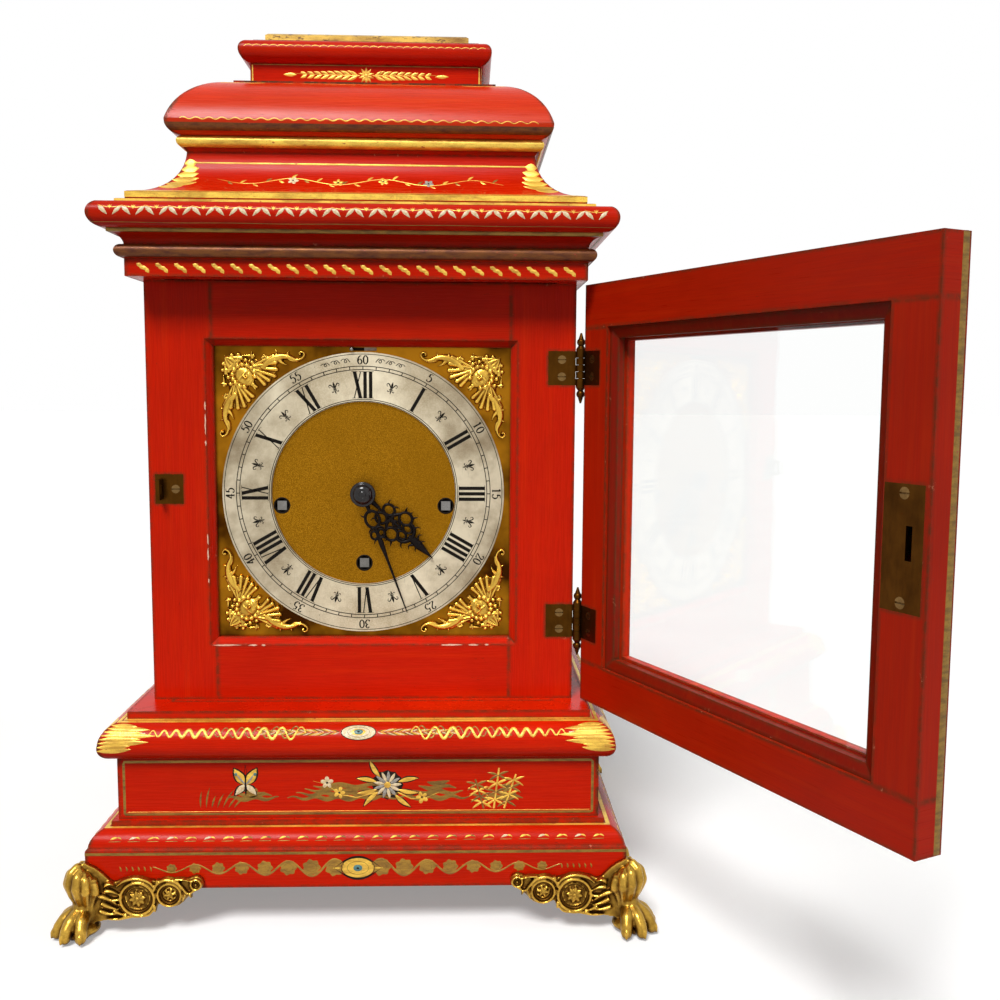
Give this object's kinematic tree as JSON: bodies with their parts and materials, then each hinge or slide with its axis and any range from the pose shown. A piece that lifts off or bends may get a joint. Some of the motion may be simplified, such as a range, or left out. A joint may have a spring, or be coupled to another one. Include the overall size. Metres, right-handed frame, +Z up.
{
  "type": "bracket clock",
  "caption": "Red-lacquered caddy-top bracket clock on brass paw feet, with a square dial, hinged glazed front and back doors and a spring-driven pendulum movement.",
  "frame": {"origin": "the middle of the case's underside (the bottom board's lower face), 26.2 mm above the floor that the feet stand on", "axes": "+X to the right as the dial is read, +Y to the back, +Z up"},
  "size_m": [0.4261, 0.456, 0.5256],
  "materials": {
    "red_lacquer": "red lacquer with gilt decoration, worn at the edges",
    "inner_lacquer": "plain darker red lacquer",
    "carcass_wood": "bare oak and pine",
    "bead_wood": "brown stained bead",
    "gilt_wood": "worn gilding",
    "gilt_brass": "cast and gilt, worn",
    "brass": "aged brass",
    "movement_brass": "polished brass",
    "matted_brass": "matted dial centre",
    "silvered": "silvered brass with black wax",
    "blued_steel": "blued steel, nearly black",
    "steel": "polished steel",
    "glass": "clear old glass",
    "bell_metal": "turned bell metal"
  },
  "bodies": {
    "case": {"base_plinth": "red_lacquer", "base_frieze": "red_lacquer", "base_torus": "red_lacquer", "cornice": "red_lacquer", "caddy_cavetto": "red_lacquer", "caddy_cushion": "red_lacquer", "cap_block": "red_lacquer", "cap_moulding": "red_lacquer", "cap_plate": "gilt_wood", "bottom_board": "carcass_wood", "floor_board": "carcass_wood", "side_boards": "red_lacquer", "side_frets": "gilt_brass", "door_catch": "brass", "front_stiles": "red_lacquer", "front_rails": "red_lacquer", "rear_frame": "carcass_wood", "case_hinge_leaves": "brass", "hinge_pins": "brass", "case_screws": "brass", "paw_feet": "gilt_brass", "dial_plate": "matted_brass", "chapter_ring": "silvered", "spandrels": "gilt_brass", "front_plate": "movement_brass", "back_plate": "movement_brass", "plate_pillars": "movement_brass", "hour_bell": "bell_metal", "seat_board": "carcass_wood"},
    "front_door": {"door_rails": "inner_lacquer", "door_stiles": "inner_lacquer", "door_glass": "glass", "door_glass_beads": "bead_wood", "door_hinge_leaves": "brass", "door_screws": "brass", "lock_plate": "brass", "key_escutcheon": "brass"},
    "lock_bolt": {"lock_bolt": "brass"},
    "rear_door": {"rear_door_frame": "red_lacquer", "rear_door_glass": "glass", "rear_door_hinge_leaves": "brass"},
    "rear_latch": {"rear_latch": "brass"},
    "silent_lever": {"silent_lever": "steel"},
    "minute_work": {"minute_hand": "blued_steel", "hand_boss": "blued_steel", "centre_arbor": "steel"},
    "hour_work": {"hour_hand": "blued_steel", "hour_wheel": "movement_brass"},
    "minute_wheel": {"minute_wheel": "movement_brass"},
    "great_wheel": {"great_wheel": "movement_brass"},
    "third_wheel": {"third_wheel": "movement_brass"},
    "escape_wheel": {"escape_wheel": "movement_brass"},
    "pallets": {"pallets": "steel"},
    "pendulum": {"pendulum": "movement_brass"},
    "going_fusee": {"going_fusee": "movement_brass"},
    "strike_fusee": {"strike_fusee": "movement_brass"},
    "chime_fusee": {"chime_fusee": "movement_brass"},
    "going_barrel": {"going_barrel": "movement_brass"},
    "strike_barrel": {"strike_barrel": "movement_brass"},
    "chime_barrel": {"chime_barrel": "movement_brass"}
  },
  "joints": [
    {"name": "front_door_hinge", "type": "hinge", "parent": "case", "child": "front_door", "pos_m": [0.1287, -0.0803, 0.2215], "axis": [0, 0, 1], "range_deg": [-115.3, 54.7]},
    {"name": "lock_bolt_slide", "type": "slide", "parent": "front_door", "child": "lock_bolt", "axis": [0.4274, -0.9041, 0], "range_m": [0, 0.005]},
    {"name": "rear_door_hinge", "type": "hinge", "parent": "case", "child": "rear_door", "pos_m": [-0.1287, 0.0803, 0.2215], "axis": [0, 0, 1], "range_deg": [0, 120]},
    {"name": "rear_latch_turn", "type": "hinge", "parent": "rear_door", "child": "rear_latch", "pos_m": [0.098, 0.09, 0.2215], "axis": [0, -1, 0], "range_deg": [0, 90]},
    {"name": "silent_lever_slide", "type": "slide", "parent": "case", "child": "silent_lever", "axis": [1, 0, 0], "range_m": [0, 0.013]},
    {"name": "minute_turn", "type": "hinge", "parent": "case", "child": "minute_work", "pos_m": [0, 0, 0.2215], "axis": [0, 1, 0], "continuous": true},
    {"name": "hour_turn", "type": "hinge", "parent": "case", "child": "hour_work", "pos_m": [0, 0, 0.2215], "axis": [0, 1, 0], "continuous": true},
    {"name": "minute_wheel_turn", "type": "hinge", "parent": "case", "child": "minute_wheel", "pos_m": [0, 0, 0.2449], "axis": [0, 1, 0], "continuous": true},
    {"name": "great_wheel_turn", "type": "hinge", "parent": "case", "child": "great_wheel", "pos_m": [0, 0, 0.1793], "axis": [0, 1, 0], "continuous": true},
    {"name": "third_wheel_turn", "type": "hinge", "parent": "case", "child": "third_wheel", "pos_m": [-0.0206, 0, 0.24579], "axis": [0, 1, 0], "continuous": true},
    {"name": "escape_wheel_turn", "type": "hinge", "parent": "case", "child": "escape_wheel", "pos_m": [0, 0, 0.2646], "axis": [0, 1, 0], "continuous": true},
    {"name": "pendulum_swing", "type": "hinge", "parent": "case", "child": "pendulum", "pos_m": [0, 0, 0.2846], "axis": [0, 1, 0], "range_deg": [-4, 4]},
    {"name": "pallets_rock", "type": "hinge", "parent": "case", "child": "pallets", "pos_m": [0, 0, 0.2846], "axis": [0, 1, 0], "range_deg": [-4, 4]},
    {"name": "going_wind", "type": "hinge", "parent": "case", "child": "going_fusee", "pos_m": [0, 0, 0.1793], "axis": [0, 1, 0], "range_deg": [-2520, 2520]},
    {"name": "strike_wind", "type": "hinge", "parent": "case", "child": "strike_fusee", "pos_m": [-0.049, 0, 0.214], "axis": [0, 1, 0], "range_deg": [-2520, 2520]},
    {"name": "chime_wind", "type": "hinge", "parent": "case", "child": "chime_fusee", "pos_m": [0.049, 0, 0.214], "axis": [0, 1, 0], "range_deg": [-2520, 2520]},
    {"name": "going_barrel_turn", "type": "hinge", "parent": "case", "child": "going_barrel", "pos_m": [0.02001, 0, 0.14002], "axis": [0, 1, 0], "range_deg": [-1890, 1890]},
    {"name": "strike_barrel_turn", "type": "hinge", "parent": "case", "child": "strike_barrel", "pos_m": [-0.062, 0, 0.1595], "axis": [0, 1, 0], "range_deg": [-1890, 1890]},
    {"name": "chime_barrel_turn", "type": "hinge", "parent": "case", "child": "chime_barrel", "pos_m": [0.062, 0, 0.1595], "axis": [0, 1, 0], "range_deg": [-1890, 1890]}
  ],
  "couplings": [
    {"joint": "hour_turn", "follows": "minute_turn", "ratio": 0.083333},
    {"joint": "minute_wheel_turn", "follows": "minute_turn", "ratio": -1},
    {"joint": "great_wheel_turn", "follows": "minute_turn", "ratio": -0.083333},
    {"joint": "third_wheel_turn", "follows": "minute_turn", "ratio": -12},
    {"joint": "pallets_rock", "follows": "pendulum_swing", "ratio": 1},
    {"joint": "going_barrel_turn", "follows": "going_wind", "ratio": 0.75},
    {"joint": "strike_barrel_turn", "follows": "strike_wind", "ratio": 0.75},
    {"joint": "chime_barrel_turn", "follows": "chime_wind", "ratio": 0.75}
  ]
}
